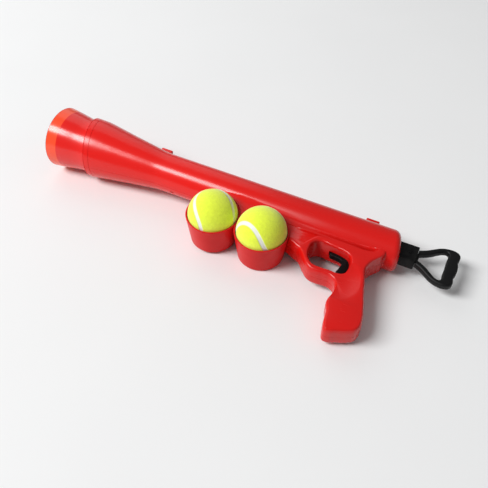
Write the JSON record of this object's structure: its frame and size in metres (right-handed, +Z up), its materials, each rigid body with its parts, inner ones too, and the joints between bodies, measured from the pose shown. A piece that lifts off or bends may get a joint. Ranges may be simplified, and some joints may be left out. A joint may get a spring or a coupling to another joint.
{
  "type": "dog ball thrower",
  "caption": "Red spring launcher for dog balls with a flared horn, pistol grip, trigger, pull loop at the rear and ball cups under the barrel.",
  "frame": {"origin": "centre of the bounding box at table height", "axes": "+X toward the pull loop along the barrel, +Y toward the launcher's top, +Z up as it lies on its right side"},
  "size_m": [0.5836, 0.1992, 0.0871],
  "materials": {
    "red_plastic": "glossy moulded",
    "clear_red_plastic": "translucent glossy",
    "crimson_plastic": "satin moulded",
    "black_plastic": "satin moulded",
    "black_rubber": "matt",
    "steel": "plated",
    "tennis_felt": "felt with a rubber seam"
  },
  "bodies": {
    "housing": {"left_shell": "red_plastic", "right_shell": "red_plastic", "muzzle_sleeve": "clear_red_plastic", "front_ball_cup": "crimson_plastic", "rear_ball_cup": "crimson_plastic", "barrel_bumper": "black_rubber", "spring_seat": "black_plastic", "rear_guide": "black_plastic", "main_spring": "steel", "body_screw_1": "steel", "body_screw_2": "steel", "body_screw_3": "steel", "body_screw_4": "steel", "body_screw_5": "steel", "body_screw_6": "steel", "trigger_pin": "steel", "sear_pin": "steel", "trigger_spring": "steel", "sear_spring": "steel"},
    "pull_group": {"piston": "black_plastic", "striker_pad": "black_rubber", "pull_bar": "black_plastic", "pull_loop": "black_plastic", "loop_pin": "steel"},
    "trigger_body": {"trigger": "black_plastic"},
    "sear_body": {"sear": "steel"},
    "front_ball_body": {"front_ball": "tennis_felt"},
    "rear_ball_body": {"rear_ball": "tennis_felt"}
  },
  "joints": [
    {"name": "cocking_slide", "type": "slide", "parent": "housing", "child": "pull_group", "axis": [0.9994, 0, -0.0359], "range_m": [0, 0.13], "stiffness_N_per_m": 200, "springref_m": -0.05, "deforming": ["main_spring"]},
    {"name": "trigger_pull", "type": "hinge", "parent": "housing", "child": "trigger_body", "pos_m": [0.16139, 0.02611, 0.02575], "axis": [0.0359, -0.0534, 0.9979], "range_deg": [0, 12], "stiffness_Nm_per_rad": 0.2, "springref_deg": -11.46},
    {"name": "sear_drop", "type": "hinge", "parent": "housing", "child": "sear_body", "pos_m": [0.1774, 0.0341, 0.02561], "axis": [0.0359, -0.0534, 0.9979], "range_deg": [0, 7.2]},
    {"name": "front_ball_lift", "type": "slide", "parent": "housing", "child": "front_ball_body", "axis": [0.0359, -0.0534, 0.9979], "range_m": [0, 0.08]},
    {"name": "rear_ball_lift", "type": "slide", "parent": "housing", "child": "rear_ball_body", "axis": [0.0359, -0.0534, 0.9979], "range_m": [0, 0.08]}
  ],
  "couplings": [
    {"joint": "sear_drop", "follows": "trigger_pull", "ratio": 0.6}
  ]
}
